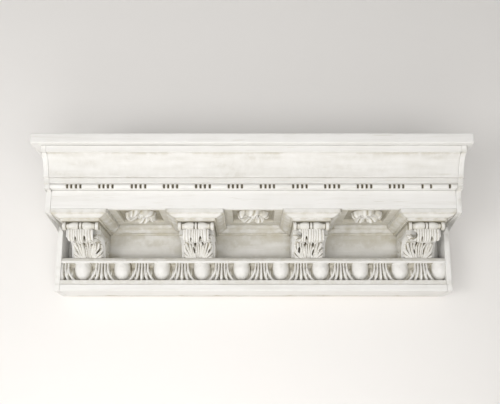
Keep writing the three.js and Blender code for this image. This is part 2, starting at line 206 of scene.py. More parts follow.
def stations(start, end, spacing, radius=0.5):
    """Places along a run, closer together at both ends, where the edges are rounded."""
    near = np.array([0, 0.15, 0.5, 1]) * radius
    count = max(2, int((abs(end - start) - 2 * radius) / spacing))
    way = np.sign(end - start)
    middle = np.linspace(start + way * radius, end - way * radius, count)[1:-1]
    return np.concatenate([start + way * near, middle, (end - way * near)[::-1]])


def loft(ring, levels, place, radius=0.5):
    """A closed outline carried over the levels. At distance d < r from either end it is drawn in
    along its own normals by r - sqrt(r^2 - (r - d)^2), which rounds the end edges. place(a, b, level)
    gives [x, out, height]."""
    ahead = np.roll(ring, -1, 0) - np.roll(ring, 1, 0)
    normal = np.stack([ahead[:, 1], -ahead[:, 0]], 1) / np.linalg.norm(ahead, axis=1)[:, None]
    following = np.roll(ring, -1, 0)
    area = np.sum(ring[:, 0] * following[:, 1] - ring[:, 1] * following[:, 0])
    distance = np.minimum(np.abs(levels - levels[0]), np.abs(levels - levels[-1]))
    lack = np.clip(radius - distance, 0, None)
    inset = radius - np.sqrt(radius ** 2 - lack ** 2)
    drawn = ring[None] - normal[None] * inset[:, None, None] * np.sign(area)
    return stacked(*place(drawn[..., 0], drawn[..., 1], levels[:, None]))


def along(a, b, level):
    """A section [out, height] carried along the wall."""
    return level, a, b


def normals(grid):
    """Unit normals of a grid whose rows are closed rings, from the differences of neighbours."""
    round_it = np.roll(grid, -1, 1) - np.roll(grid, 1, 1)
    onward = np.gradient(grid, axis=0)
    normal = np.cross(round_it, onward)
    return normal / np.maximum(np.linalg.norm(normal, axis=-1, keepdims=True), 1e-9)


def volume(grid):
    """The signed volume inside a grid of closed rings, from the tetrahedra under its faces."""
    a, b = grid[:-1], grid[1:]
    c, d = np.roll(b, -1, 1), np.roll(a, -1, 1)
    six = np.einsum("ijk,ijk->", a, np.cross(b, c)) + np.einsum("ijk,ijk->", a, np.cross(c, d))
    for ring, sign in ((grid[0], -1), (grid[-1], 1)):
        middle = ring.mean(0)
        six += sign * np.einsum("ik,ik->", np.roll(ring, -1, 0), np.cross(ring, middle[None]))
    return -six / 6


def shell(grid, dirt_and_shade):
    """A closed surface over a grid of rings: quads between neighbouring rings, and one flat face at
    each end. Its faces point outwards."""
    if volume(grid) < 0:
        grid = grid[:, ::-1]
        dirt_and_shade = np.broadcast_to(dirt_and_shade, grid.shape[:2])[:, ::-1]
    rows, columns = grid.shape[:2]
    index = np.arange(rows * columns).reshape(rows, columns)
    a, b = index[:-1], index[1:]
    quads = np.stack([a, np.roll(a, -1, 1), np.roll(b, -1, 1), b], -1).reshape(-1, 4)
    ends = [index[0][::-1].tolist(), index[-1].tolist()]
    shade = np.broadcast_to(dirt_and_shade, (rows, columns)).reshape(-1)
    return grid.reshape(-1, 3), quads.tolist() + ends, shade


def aged(grid, edge, seed, chips=(), wander=0.3, wear=0.7):
    """The grid worn inwards: a slow unevenness all over, short losses on outer edges, and chips, each
    (x, out, height, reach, depth), by depth exp(-(distance / reach)^2)."""
    slow = wander * (0.5 + 0.5 * noise(grid, (70, 14, 14), seed))
    losses = wear * edge * np.clip(noise(grid, (7, 5, 5), seed + 1) - 0.15, 0, 1)
    loss = slow + losses
    for x, out, height, reach, depth in chips:
        distance = np.linalg.norm((grid - (x, out, height)) / (1.6, 1, 1), axis=-1)
        ragged = reach * (1 + 0.35 * noise(grid, 2.5, seed + 2))
        loss = loss + depth * hump(distance, ragged)
    sign = 1 if volume(grid) > 0 else -1
    return grid - normals(grid) * (sign * loss)[..., None]


def to_frame(points):
    """[x, out, height] in millimetres as x, y, z in metres, with the wall mount at height 0."""
    return np.stack([points[:, 0], -points[:, 1], points[:, 2] - MOUNT_HEIGHT], axis=1) / 1000


def linked(name, data):
    """A new object in the scene that holds the data."""
    thing = bpy.data.objects.new(name, data)
    bpy.context.scene.collection.objects.link(thing)
    return thing


def set_dirt_and_shade(mesh, values):
    """How dirty or shaded each point is, from 0 to 1: real dirt together with painted shade in hollows,
    corners and undersides, as the attribute that the finishes read.
    """
    dirt_and_shade = mesh.attributes.new("dirt_and_shade", "FLOAT", "POINT")
    dirt_and_shade.data.foreach_set("value", np.clip(values, 0, 1).astype(np.float32))


def piece(name, shells, node, material):
    """One object out of closed shells, standing for a node of the solids. Its quads are shaded smooth
    and its flat ends flat."""
    points, faces, shades, first = [], [], [], 0
    for part, part_faces, shade in shells:
        points.append(part)
        shades.append(shade)
        faces += [[first + k for k in face] for face in part_faces] if first else part_faces
        first += len(part)
    mesh = bpy.data.meshes.new(name)
    mesh.from_pydata(to_frame(np.vstack(points)).tolist(), [], faces)
    mesh.polygons.foreach_set("use_smooth", np.array([len(face) == 4 for face in faces]))
    set_dirt_and_shade(mesh, np.concatenate(shades))
    mesh.materials.append(material)
    thing = linked(name, mesh)
    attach(thing, "root")
    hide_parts(node)


# Finishes

def new_group(name, inputs):
    """An empty shader group with the given inputs, and with color, roughness and height as outputs.
    Returns it with its two end nodes."""
    group = bpy.data.node_groups.new(name, "ShaderNodeTree")
    outputs = [("Color", "Color"), ("Roughness", "Float"), ("Height", "Float")]
    for way, sockets in (("INPUT", inputs), ("OUTPUT", outputs)):
        for label, kind in sockets:
            group.interface.new_socket(name=label, in_out=way, socket_type="NodeSocket" + kind)
    return group, group.nodes.new("NodeGroupInput"), group.nodes.new("NodeGroupOutput")


def join_outputs(group, end, *results):
    """Joins the group's results to its outputs, in their order."""
    for result, socket in zip(results, end.inputs):
        group.links.new(result, socket)


class Wiring:
    """Adds nodes to a tree in few words."""

    def __init__(self, tree):
        self.tree = tree

    def add(self, kind, inputs=(), **settings):
        node = self.tree.nodes.new(kind)
        for key, value in settings.items():
            setattr(node, key, value)
        for key, value in dict(inputs).items():
            if isinstance(value, bpy.types.NodeSocket):
                self.tree.links.new(value, node.inputs[key])
            else:
                node.inputs[key].default_value = value
        return node

    def math(self, operation, a, b=0.0, clamp=False):
        return self.add("ShaderNodeMath", {0: a, 1: b}, operation=operation, use_clamp=clamp).outputs[0]

    def spread(self, value, low, high, to_low=0.0, to_high=1.0):
        inputs = {"Value": value, "From Min": low, "From Max": high, "To Min": to_low, "To Max": to_high}
        return self.add("ShaderNodeMapRange", inputs).outputs["Result"]

    def mix(self, factor, a, b):
        return self.add("ShaderNodeMix", {0: factor, 6: a, 7: b}, data_type="RGBA").outputs[2]

    def noise(self, vector, scale, detail=3.0, roughness=0.55):
        inputs = {"Vector": vector, "Scale": scale, "Detail": detail, "Roughness": roughness}
        return self.add("ShaderNodeTexNoise", inputs).outputs["Fac"]


def brushed_paint_group():
    """Brush strokes and grain along a piece, cloudy patches and fine dirt, and from the input that carries
    dirt and painted shade, grey-tan patches and near black in the deepest hollows. Streaks is a
    coordinate drawn out along the strokes, Place is a plain one, both in metres."""
    inputs = [("Streaks", "Vector"), ("Place", "Vector"), ("Dirt_and_shade", "Float")]
    group, start, end = new_group("brushed_paint", inputs)
    w = Wiring(group)
    streaks, place, dirt_and_shade = start.outputs[0], start.outputs[1], start.outputs[2]
    strokes = w.noise(streaks, 90, 4)
    grain = w.noise(streaks, 260, 2)
    clouds = w.noise(place, 9, 3)
    specks = w.noise(place, 420, 2, 0.7)
    white = (0.775, 0.768, 0.748, 1)
    worn = (0.62, 0.607, 0.565, 1)
    tan = (0.46, 0.42, 0.31, 1)
    deep = (0.07, 0.058, 0.04, 1)
    color = w.mix(w.spread(strokes, 0.52, 0.72, 0, 0.34), white, worn)
    color = w.mix(w.spread(clouds, 0.45, 0.75, 0, 0.28), color, worn)
    color = w.mix(w.spread(grain, 0.64, 0.74, 0, 0.35), color, tan)
    # Patchy: the input times a noise greys and then tans the paint, as dust and as painted shade.
    patchy_dirt_and_shade = w.math("MULTIPLY", dirt_and_shade, w.spread(w.noise(place, 60, 3), 0.3, 0.6, 0.55, 1.0))
    color = w.mix(w.spread(patchy_dirt_and_shade, 0.01, 0.30, 0, 0.9), color, worn)
    color = w.mix(w.spread(patchy_dirt_and_shade, 0.2, 0.75, 0, 0.9), color, tan)
    # From 0.6 up the input turns the paint near black: painted shade in slots, drilled eyes and the deepest
    # grooves.
    color = w.mix(w.spread(dirt_and_shade, 0.6, 1.0, 0, 0.95), color, deep)
    color = w.mix(w.spread(specks, 0.72, 0.78, 0, 0.4), color, tan)
    rough = w.math("ADD", w.spread(strokes, 0.3, 0.7, 0.50, 0.66), w.math("MULTIPLY", dirt_and_shade, 0.2), True)
    height = w.math("ADD", w.math("MULTIPLY", strokes, 0.6), w.math("MULTIPLY", grain, 0.35))
    height = w.math("ADD", height, w.math("MULTIPLY", specks, 0.12))
    join_outputs(group, end, color, rough, height)
    return group


def bare_wood_group():
    """Softwood: growth rings as the contour lines of a stretched noise, with fine pores along them."""
    group, start, end = new_group("bare_softwood", [("Streaks", "Vector"), ("Place", "Vector")])
    w = Wiring(group)
    streaks, place = start.outputs[0], start.outputs[1]
    contours = w.math("SINE", w.math("MULTIPLY", w.noise(streaks, 7, 1.5), 75))
    rings = w.spread(contours, -1, 1, 0, 0.75)
    pores = w.noise(streaks, 380, 3)
    stains = w.noise(place, 5, 4)
    color = w.mix(rings, (0.56, 0.42, 0.27, 1), (0.40, 0.27, 0.15, 1))
    color = w.mix(w.spread(pores, 0.5, 0.7, 0, 0.5), color, (0.28, 0.18, 0.10, 1))
    color = w.mix(w.spread(stains, 0.4, 0.8, 0, 0.5), color, (0.33, 0.27, 0.20, 1))
    rough = w.spread(pores, 0.3, 0.7, 0.62, 0.8)
    height = w.math("ADD", w.math("MULTIPLY", rings, 0.3), w.math("MULTIPLY", pores, 0.7))
    join_outputs(group, end, color, rough, height)
    return group


PAINT_GROUP = brushed_paint_group()
WOOD_GROUP = bare_wood_group()


def finish(name, stretch, bare_back=False, film=0.00035):
    """Brushed paint whose strokes run where stretch is small. With bare_back, the face against the
    wall is bare wood."""
    material = bpy.data.materials.new(name)
    material.use_nodes = True
    tree = material.node_tree
    w = Wiring(tree)
    shader = tree.nodes["Principled BSDF"]
    place = w.add("ShaderNodeTexCoord").outputs["Object"]
    streaks = w.add("ShaderNodeMapping", {"Vector": place, "Scale": stretch}).outputs["Vector"]
    dirt_and_shade = w.add("ShaderNodeAttribute", attribute_name="dirt_and_shade").outputs["Fac"]
    where = {"Streaks": streaks, "Place": place}
    paint = w.add("ShaderNodeGroup", {**where, "Dirt_and_shade": dirt_and_shade}, node_tree=PAINT_GROUP)
    color, rough, height = (paint.outputs[k] for k in ("Color", "Roughness", "Height"))
    if bare_back:
        wood = w.add("ShaderNodeGroup", where, node_tree=WOOD_GROUP)
        depth = w.add("ShaderNodeSeparateXYZ", {0: place}).outputs["Y"]
        ragged = w.math("ADD", depth, w.spread(w.noise(place, 30, 3), 0, 1, -0.0015, 0.0015))
        bare = w.spread(ragged, -0.003, -0.0015)
        color = w.mix(bare, color, wood.outputs["Color"])
        rough = w.mix(bare, rough, wood.outputs["Roughness"])
        height = w.mix(bare, height, wood.outputs["Height"])
    bump = w.add("ShaderNodeBump", {"Strength": 0.55, "Distance": film, "Height": height})
    tree.links.new(color, shader.inputs["Base Color"])
    tree.links.new(rough, shader.inputs["Roughness"])
    tree.links.new(bump.outputs["Normal"], shader.inputs["Normal"])
    shader.inputs["Specular IOR Level"].default_value = 0.35
    return material


LONG_PAINT = finish("paint_along_the_length", (0.05, 1, 1))
UPRIGHT_PAINT = finish("paint_on_upright_boards", (1, 1, 0.07))
CARVED_PAINT = finish("paint_on_carving", (0.6, 0.6, 0.6), film=0.00025)
BACK_FINISH = finish("painted_front_bare_back", (0.05, 1, 1), bare_back=True)


# Boards and mouldings

def shelf_board():
    """The top board, drawn in plan with small round corners at the front and carried up through its
    thickness, with both long edges softened."""
    corner = 6
    low, high = SHELF_SHIFT - SHELF_HALF, SHELF_SHIFT + SHELF_HALF
    plan = [(low, 0), (low, SHELF_OUT), (high, SHELF_OUT), (high, 0)]
    ring, edge, _ = outline(plan, radius=corner, spacing=5)
    levels = stations(SHELF_LOW, SHELF_TOP, 4, 2.0)
    grid = loft(ring, levels, lambda a, b, level: (a, b, level), 2.0)
    near_end = np.minimum(levels - SHELF_LOW, SHELF_TOP - levels)[:, None]
    rim = np.clip(1 - near_end / 2.0, 0, 1) + 0 * edge[None]
    chips = [(-180, SHELF_OUT, SHELF_LOW, 4, 1.6), (412, SHELF_OUT, SHELF_TOP, 3, 1.2)]
    grid = aged(grid, rim, 11, chips, 0.25, 0.9)
    dirt_and_shade = 0.08 * rim * np.clip(noise(grid, (40, 8, 8), 12), 0, 1)
    piece("top_board", [shell(grid, dirt_and_shade)], "shelf_board", LONG_PAINT)


def moulding(name, node, corners, seed, spacing=4.0, radius=1.0, chips=(), film=None):
    """A section [out, height] carried along the wall between the end boards, with painted shade in its
    inner corners and grime along its outer edges. film(ring) gives further darkening on its faces."""
    ring, edge, nook = outline(corners, radius)
    grid = loft(ring, stations(-INNER, INNER, spacing), along)
    grid = aged(grid, edge[None], seed, chips)
    patchy = 0.6 + 0.4 * noise(grid, (50, 10, 10), seed + 5)
    # Painted shade in the inner corners, patchy grime along the outer edges.
    grime_and_shade = 0.5 * nook[None] * patchy + 0.22 * edge[None] * np.clip(noise(grid, (12, 6, 6), seed + 6), 0, 1)
    if film:
        grime_and_shade = grime_and_shade + film(ring)[None] * patchy
    grime_and_shade = np.minimum(grime_and_shade, 0.62)
    piece(name, [shell(grid, grime_and_shade)], node, LONG_PAINT)


def crown_front():
    """The crown's front from the top down: fillet, step, and the hollow as an arc of a circle."""
    hollow = arc((COVE_TOP, COVE_TOP_HEIGHT), (COVE_FOOT, CROWN_LOW), 7, 14)
    return [(CROWN_FILLET, SHELF_LOW - JOINT), (CROWN_FILLET, COVE_TOP_HEIGHT), *hollow]


def crown_moulding():
    """The crown in one length, with painted shade over its hollow, and small losses along the step."""
    back = [(COVE_FOOT - 36, CROWN_LOW), (CROWN_FILLET - 43, SHELF_LOW - JOINT)]
    chips = [
        (-342, CROWN_FILLET, COVE_TOP_HEIGHT, 3.0, 2.4),
        (-330, CROWN_FILLET, COVE_TOP_HEIGHT, 2.0, 1.6),
        (-520, 268, 330, 1.6, 1.3),
        (-521, 265, 322, 1.3, 1.2),
        (236, CROWN_FILLET, COVE_TOP_HEIGHT, 2.2, 1.4),
    ]

    def film(ring):
        # Painted shade: the whole hollow is darkened.
        hollow = (ring[:, 1] < COVE_TOP_HEIGHT - 0.5) & (ring[:, 0] < COVE_TOP + 0.5)
        return 0.28 * hollow

    moulding("crown", "crown_moulding", [*crown_front(), *back], 21, 3.0, 0.9, chips, film)


def reel_reach(x):
    """How far the rod stands out at x, from 0.15 in a slot to 1 on a bead: beside a slot it swells as a
    quarter circle over 3 mm. The last group has only two slots left, and one more alone at the end."""
    group = REEL_FIRST + REEL_PITCH * np.arange(REEL_GROUPS)
    slots = (group[:-1, None] + REEL_SLOT * np.arange(4)).ravel()
    slots = np.concatenate([slots, group[-1] + REEL_SLOT * np.array([0, 2, 6.1])])
    slots = slots + np.random.default_rng(31).uniform(-0.7, 0.7, len(slots))
    near = np.min(np.abs(x[:, None] - slots[None]), axis=1)
    t = np.clip((near - 2.2) / 3.0, 0, 1)
    return 0.15 + 0.85 * dome(1 - t)


def bead_and_reel():
    """The flat band, and under it the rod: a half circle of points whose radius follows reel_reach."""
    middle = ROD_LOW + 7
    angle = np.linspace(-0.5, 0.5, 19) * np.pi
    rod = np.stack([ROD_OUT + ROD_RADIUS * np.cos(angle), middle + ROD_RADIUS * np.sin(angle)], 1)
    corners = [
        (200, ROD_LOW + JOINT),
        *rod,
        (ROD_OUT, BAND_LOW),
        (BAND_OUT, BAND_LOW + 0.2),
        (BAND_OUT, CROWN_LOW - JOINT),
        (200, CROWN_LOW - JOINT),
    ]
    ring, edge, nook = outline(corners, 0.8)
    x = np.linspace(-INNER, INNER, 1400)
    grid = loft(ring, x, along)
    reach = (reel_reach(x) * (1 + 0.03 * flat_noise(x, 0, 20, 33)))[:, None]
    on_rod = (ring[:, 0] > ROD_OUT + 0.01) & (ring[:, 1] < BAND_LOW - 0.3)
    scale = np.where(on_rod[None], np.minimum(reach, 1.0), 1.0)
    grid[..., 1] = np.where(on_rod, ROD_OUT + (grid[..., 1] - ROD_OUT) * scale, grid[..., 1])
    grid[..., 2] = np.where(on_rod, middle + (grid[..., 2] - middle) * (0.9 + 0.1 * scale), grid[..., 2])
    grid = aged(grid, edge[None] * ~on_rod[None], 32, (), 0.25, 0.6)
    # Painted shade: the slots between the beads go near black and the inner corners darken a little; the
    # flat band's front is a little darker all along.
    slot_shade = np.where(on_rod[None], 1.6 * (1 - scale), 0)
    band = 0.13 * (ring[:, 0] > BAND_OUT - 1)
    dirt_and_shade = np.maximum(0.12 * nook[None], slot_shade) + band[None]
    piece("bead_and_reel", [shell(grid, dirt_and_shade)], "bead_and_reel_strip", LONG_PAINT)


def box_section(out0, out1, low, high):
    """The corners of a board's section."""
    return [(out0, low), (out1, low), (out1, high), (out0, high)]


def plain_boards():
    """The corona, the base fillet, and the back board, whose front is the frieze."""
    corona = box_section(CORONA_OUT - CORONA_THICK, CORONA_OUT, CORONA_LOW, ROD_LOW)
    chips = [(300, CORONA_OUT, CORONA_LOW, 2.5, 1.2), (-95, CORONA_OUT, ROD_LOW, 2, 1.0)]
    moulding("corona", "corona_board", corona, 41, 4.0, 0.9, chips)
    base = box_section(BACK_THICK + JOINT, BASE_OUT, 0, BASE_TOP)
    chips = [(-410, BASE_OUT, 0, 3, 1.6), (160, BASE_OUT, 0, 2.5, 1.4), (505, BASE_OUT, BASE_TOP, 2.5, 1.2)]
    moulding("base", "base_fillet", base, 42, 4.0, 1.4, chips)
    ring, edge, nook = outline(box_section(0, BACK_THICK, 0, SHELF_LOW - JOINT), 0.8, 7)
    grid = loft(ring, stations(-INNER, INNER, 6), along)
    grid = aged(grid, edge[None], 43)
    height = grid[..., 2]
    # Painted shade on the frieze: grey-tan all over, heavier towards the top under the overhang and beside
    # each modillion, lighter near the end boards.
    frieze_shade = 0.25 + 0.30 * step(140, 184, height)
    near_block = np.min(np.abs(grid[..., 0, None] - block_places()), axis=-1)
    inner = step(540, 520, np.abs(grid[..., 0]))
    frieze_shade = frieze_shade * (0.1 + 0.9 * inner) + 0.30 * inner * np.exp(-np.abs(near_block - MODILLION_HALF) / 9)
    frieze_shade = np.minimum(frieze_shade * (0.75 + 0.5 * noise(grid, (60, 12, 12), 44)), 0.62)
    piece("back_plank", [shell(grid, frieze_shade)], "back_board", BACK_FINISH)


def block_places():
    """The middles of the four modillions along the length."""
    return (np.arange(MODILLIONS) - (MODILLIONS - 1) / 2) * MODILLION_PITCH


def rosette_places():
    """The middles of the three sunk panels along the length."""
    return (np.arange(ROSETTES) - (ROSETTES - 1) / 2) * MODILLION_PITCH


def end_boards():
    """Both end boards, sawn to the outline of the mouldings that they close. The outline is walked
    from foot to top, and each place on it is joined to the place on the back edge at the same share
    of the way, so that the faces of the board never cross. The ring round it goes forward along the
    outer face, over a rounded edge and back along the inner face."""
    front = [
        *crown_front(),
        (BAND_OUT, CROWN_LOW),
        (BAND_OUT, BAND_LOW),
        (ROD_OUT + 6, BAND_LOW),
        (ROD_OUT + 6, ROD_LOW),
        (CORONA_OUT, ROD_LOW),
        (CORONA_OUT, CORONA_LOW - CAP_FILLET_HEIGHT),
        (LOWER_OUT, CORONA_LOW - CAP_FILLET_HEIGHT + 3),
        (LOWER_OUT, BASE_TOP),
        (BASE_OUT, BASE_TOP),
        (BASE_OUT, 0),
    ]
    ring, _, nook = outline([(0, 0), (0, SHELF_LOW - JOINT), *front], 0.8, 3)
    walk = ring[:, 0] > 2
    ring, nook = ring[walk][::-1], nook[walk][::-1]
    run = np.concatenate([[0], np.cumsum(np.linalg.norm(np.diff(ring, axis=0), axis=1))])
    back_height = (run / run[-1] * (SHELF_LOW - JOINT))[:, None]
    flat = np.linspace(0, 1, 12)[:-1]
    corner = np.array([0, 0.15, 0.5, 1.0])
    across = np.linspace(1, END_THICK - 1, 5)[1:-1]
    sawn = np.concatenate([corner, across, END_THICK - corner[::-1]])
    inwards = np.concatenate([0 * flat, sawn, 0 * flat + END_THICK])
    share = np.concatenate([flat, 1 + 0 * sawn, flat[::-1]])
    short = np.concatenate([0 * flat, corner[::-1], 0 * across, corner, 0 * flat])
    at_front = share == 1
    for side, name in ((-1, "left"), (1, "right")):
        out = np.clip(ring[:, :1] * share - short, 0, None)
        high = back_height + (ring[:, 1:] - back_height) * share
        x = side * (BODY_WIDTH / 2 - inwards)
        grid = aged(stacked(x, out, high), 0.8 * at_front[None], 51 + side, (), 0.2, 0.7)
        # Painted shade in the inner corners of the sawn edge, and patchy dirt along it.
        dirt_and_shade = 0.2 * nook[:, None] * at_front + 0.3 * at_front * np.clip(noise(grid, 14, 53 + side), 0, 1)
        piece(f"end_{name}", [shell(grid, dirt_and_shade)], f"end_board_{name}", UPRIGHT_PAINT)


def soffit():
    """The soffit keeps its own solid's form, with its edges taken off by a bevel. It is darkened all over
    as painted shade under the overhang, and more in the sunk panels."""
    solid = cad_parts["soffit_board"]
    mesh = solid.data.copy()
    mesh.name = "soffit"
    thing = linked("soffit", mesh)
    weld = thing.modifiers.new("weld", "WELD")
    weld.merge_threshold = 0.00002
    bevel = thing.modifiers.new("soft_edges", "BEVEL")
    bevel.width = 0.0009
    bevel.segments = 2
    bevel.limit_method = "ANGLE"
    bevel.angle_limit = math.radians(35)
    places = np.empty(3 * len(mesh.vertices), np.float32)
    mesh.vertices.foreach_get("co", places)
    sunk = places[2::3] * 1000 + MOUNT_HEIGHT > CORONA_LOW + 1
    # Painted shade: darker in the sunk panels than on the rest.
    set_dirt_and_shade(mesh, np.where(sunk, 0.72, 0.5))
    mesh.materials.clear()
    mesh.materials.append(LONG_PAINT)
    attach(thing, "root")
    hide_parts("soffit_board")


def cap_section():
    """The moulding under the soffit, as [out from the face behind it, height]."""
    top, stop, foot = CORONA_LOW - JOINT, CORONA_LOW - CAP_FILLET_HEIGHT, CAP_LOW + 6
    quarter = arc((CAP_FILLET - 4, stop), (CAP_FOOT + 3, foot), -1.5, 8)
    front = [(CAP_FILLET, top), (CAP_FILLET, stop), *quarter, (CAP_FOOT, foot), (CAP_FOOT, CAP_LOW)]
    return outline([*front, (JOINT, CAP_LOW), (JOINT, top)], 0.7, 5)


def cap_run(name, node, place, seed, length, dust_and_shade):
    """One mitred length of that moulding. place(p, h, t) carries the section from t = 0 to t = 1."""
    ring, edge, nook = cap_section()
    t = np.linspace(0, 1, max(12, int(length / 4)))
    grid = stacked(*place(ring[None, :, 0], ring[None, :, 1], t[:, None]))
    inside = (t > 0.001) & (t < 0.999)
    worn = aged(grid, edge[None], seed, (), 0.35, 0.7)
    grid = np.where(inside[:, None, None], worn, grid)
    foot = np.exp(-(ring[:, 1] - CAP_LOW) / 2.5)[None]
    mitre = np.exp(-np.minimum(t, 1 - t)[:, None] * length / 2.0)
    # Painted shade in the inner corners and along the foot, dark mitre joints, and a base level that each
    # length is given.
    dirt_and_shade = dust_and_shade + 0.5 * nook[None] + 0.35 * foot + 0.3 * mitre
    dirt_and_shade = np.minimum(dirt_and_shade * (0.75 + 0.4 * noise(grid, 16, seed + 3)), 0.6)
    piece(name, [shell(grid, dirt_and_shade)], node, LONG_PAINT)


def cap_mouldings():
    """The moulding round each modillion, in three lengths, and along the frieze in each bay."""
    half, face, gap = MODILLION_HALF, MODILLION_OUT, JOINT / 2
    for i, x in enumerate(block_places()):

        def front(p, h, t, x=x):
            side = 1 - 2 * t
            return np.clip(x + side * (half + p - gap), -INNER, INNER), face + p, h

        # Base darkening: light on each block's front, heavier on the flanks and on the bed mouldings, as
        # painted shade between the modillions and under the soffit.
        cap_run(f"cap_{i + 1}_front", f"modillion_{i + 1}_cap_front", front, 60 + 3 * i, 2 * half, 0.16)
        for side, word in ((-1, "left"), (1, "right")):
            room = INNER - abs(x + side * half)

            def flank(p, h, t, x=x, side=side, room=room):
                p = np.minimum(p, room)
                end = t if side < 0 else 1 - t
                out = (face + p - gap) * (1 - end) + (BACK_THICK + p + gap) * end
                return x + side * (half + p), out, h

            node = f"modillion_{i + 1}_cap_{word}"
            cap_run(f"cap_{i + 1}_{word}", node, flank, 61 + 3 * i + side, face - BACK_THICK, 0.42)
    for i, x in enumerate(rosette_places()):
        bay = MODILLION_PITCH / 2 - half

        def bed(p, h, t, x=x, bay=bay):
            return x + (1 - 2 * t) * (bay - p - gap), BACK_THICK + p, h

        cap_run(f"bed_{i + 1}", f"bed_moulding_{i + 1}", bed, 80 + i, 2 * bay, 0.36)


# Egg and leaf band

def egg_field(x, height):
    """How far the carving stands out at x and height. Hollow: nearly flat, curving out to the band.
    Egg: half an ellipsoid, narrow at its foot. Leaf: five ribs, each the root of 1 - (place across)^2,
    that run down side by side and bend apart at the foot, with drilled notches between their tips."""
    rng = np.random.default_rng(71)
    rise = (height - LOWER_BAND) / (LEDGE_LOW - LOWER_BAND)
    fall = 1 - rise
    field = 66 + 20 * step(0.90, 1.0, fall) + 3 * step(0.85, 1.0, rise)
    # dark is painted shade: in the hollow, heavier towards the top under the ledge.
    dark = 0.62 - 0.25 * step(0.5, 1.0, fall)
    for i in range(EGGS + 1):
        size, shift, lean, deep = rng.uniform(-1, 1, 4)
        middle = EGG_FIRST + i * EGG_PITCH + 0.8 * shift
        if i < EGGS:
            across = (x - middle) / (EGG_RADIUS * (1 + 0.025 * size))
            low = 0.76
            girth = np.where(
                rise < low,
                dome((low - rise) / (low - 0.05)),
                1 - 0.06 * ((rise - low) / (1 - low)) ** 2,
            )
            beside = np.clip(np.abs(across) - girth, 0, None) * EGG_RADIUS
            # Painted shadow beside each egg, stronger on its right and towards the top.
            shade = np.where(across > 0, 1.0, 0.8) * np.exp(-beside / 4.5) * step(0.95, 0.3, fall)
            dark = np.maximum(dark, np.where(np.abs(across) < 1.5, 1.1 * shade, 0))
            body = np.clip(girth ** 2 - across ** 2, 0, 1)
            egg = np.where(body > 0, 68 + 24.5 * np.sqrt(body), 0)
            inside = egg > field
            field = np.maximum(field, egg)
            # Painted shade on each egg: its right half darker, and a dark rim round its edge, heaviest
            # towards the top.
            rim = np.clip(1 - body * 7, 0, 1)
            egg_rim_shade = rim * (0.3 + 0.6 * step(0.7, 0.3, fall))
            dark = np.where(inside, 0.08 + 0.22 * step(0.1, 1.0, across) + egg_rim_shade, dark)
        centre = middle - EGG_PITCH / 2 + 0.8 * lean
        half = 21 + 25 * fall ** 2.6
        u = (x - centre) / half + 0.012 * deep * np.sin(5 * fall)
        place = u * 2.5
        rib = np.clip(np.round(place), -2, 2)
        aside = (place - rib) / (0.40 - 0.14 * step(0.80, 1.0, fall) * (np.abs(rib) < 2))
        crest = 89.5 + 2.5 * np.sin(np.pi * fall) - 1.2 * np.abs(rib) - 1.5 * step(0.9, 1, rise)
        valley = 75 - 10 * step(0.72, 0.86, fall)
        ridge = dome(aside)
        crease = 1.6 * hump(aside, 0.22) * (np.abs(rib) > 0)
        split = 3.5 * hump(aside, 0.35) * (rib == 0) * step(0.55, 0.85, fall)
        leaf = valley + (crest - valley) * ridge - crease - split
        on_leaf = (np.abs(u) < 1) & (leaf > field)
        tip = step(0.93 + 0.03 * np.cos(2.2 * rib), 1.0, fall)
        leaf = leaf - 6 * tip * (1 - ridge)
        field = np.where(on_leaf, np.maximum(leaf, field), field)
        # Painted shade in the grooves between the leaf's ribs, more near their foot.
        groove = np.clip(1.45 - 1.6 * ridge, 0, 0.86) + 0.14 * step(0.75, 0.85, fall) * (ridge < 0.4)
        dark = np.where(on_leaf, np.maximum(groove, 0.3 * (crease > 1)), dark)
    return field, dark


